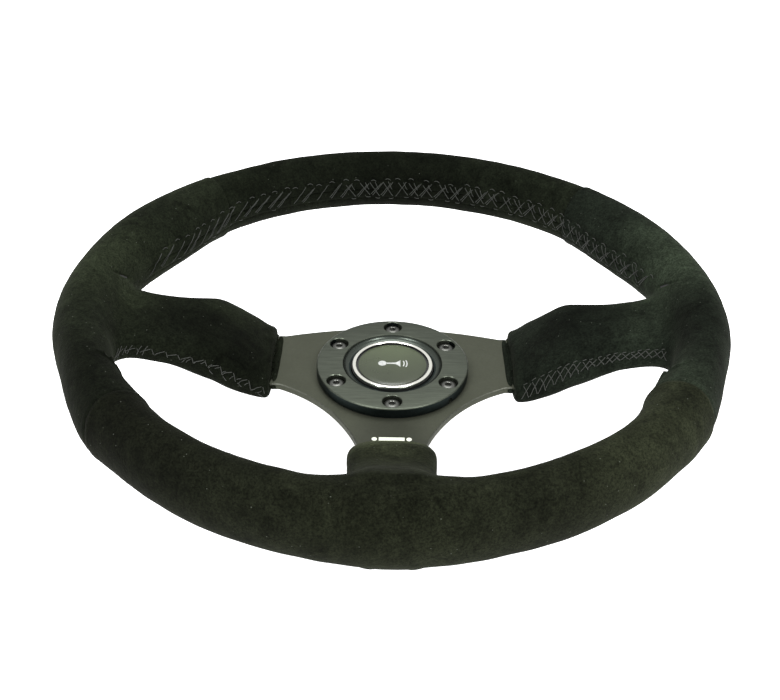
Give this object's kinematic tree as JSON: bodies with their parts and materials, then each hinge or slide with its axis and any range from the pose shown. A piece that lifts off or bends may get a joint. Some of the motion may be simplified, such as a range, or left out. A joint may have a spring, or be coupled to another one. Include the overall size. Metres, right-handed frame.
{
  "type": "steering wheel",
  "caption": "Dished three-spoke motorsport steering wheel with a suede-wrapped rim, thumb rests, a screwed hub ring and a sprung horn button, for a quick release hub.",
  "frame": {"origin": "centre of the spoke plate's rear face, on the steering axis, where the wheel meets its hub", "axes": "+Z along the steering axis towards the driver, +Y towards 12 o'clock, +X to the driver's right"},
  "size_m": [0.3507, 0.3491, 0.0835],
  "materials": {
    "suede": "matt black suede, brushed nap",
    "foam": "integral-skin polyurethane foam",
    "anodised_plate": "matt black anodised",
    "anodised_ring": "brushed, satin black anodised",
    "steel": "zinc plated",
    "black_steel": "black oxide",
    "chrome": "polished chrome",
    "black_plastic": "satin moulded",
    "gloss_black": "domed resin",
    "brass": "plain"
  },
  "bodies": {
    "wheel": {"spoke_plate": "anodised_plate", "rim_hoop": "steel", "hoop_rivet_1": "steel", "hoop_rivet_2": "steel", "hoop_rivet_3": "steel", "hoop_rivet_4": "steel", "hoop_rivet_5": "steel", "hoop_rivet_6": "steel", "rim_foam": "foam", "top_wrap": "suede", "left_grip_wrap": "suede", "right_grip_wrap": "suede", "bottom_wrap": "suede", "horn_ring": "anodised_ring", "hub_screw_1": "black_steel", "hub_screw_2": "black_steel", "hub_screw_3": "black_steel", "hub_screw_4": "black_steel", "hub_screw_5": "black_steel", "hub_screw_6": "black_steel", "grub_screw": "black_steel", "horn_housing": "black_plastic", "contact_ring": "brass", "spring_seat": "steel", "horn_spring": "steel", "hot_pin": "brass", "hot_terminal": "brass", "ground_terminal": "brass"},
    "horn_button": {"horn_cap": "black_plastic", "chrome_trim_ring": "chrome", "cap_insert": "gloss_black", "contact_plate": "brass"}
  },
  "joints": [
    {"name": "horn_press", "type": "slide", "parent": "wheel", "child": "horn_button", "axis": [0, 0, -1], "range_m": [0, 0.002], "stiffness_N_per_m": 900, "springref_m": -0.004, "deforming": ["horn_spring"]}
  ]
}
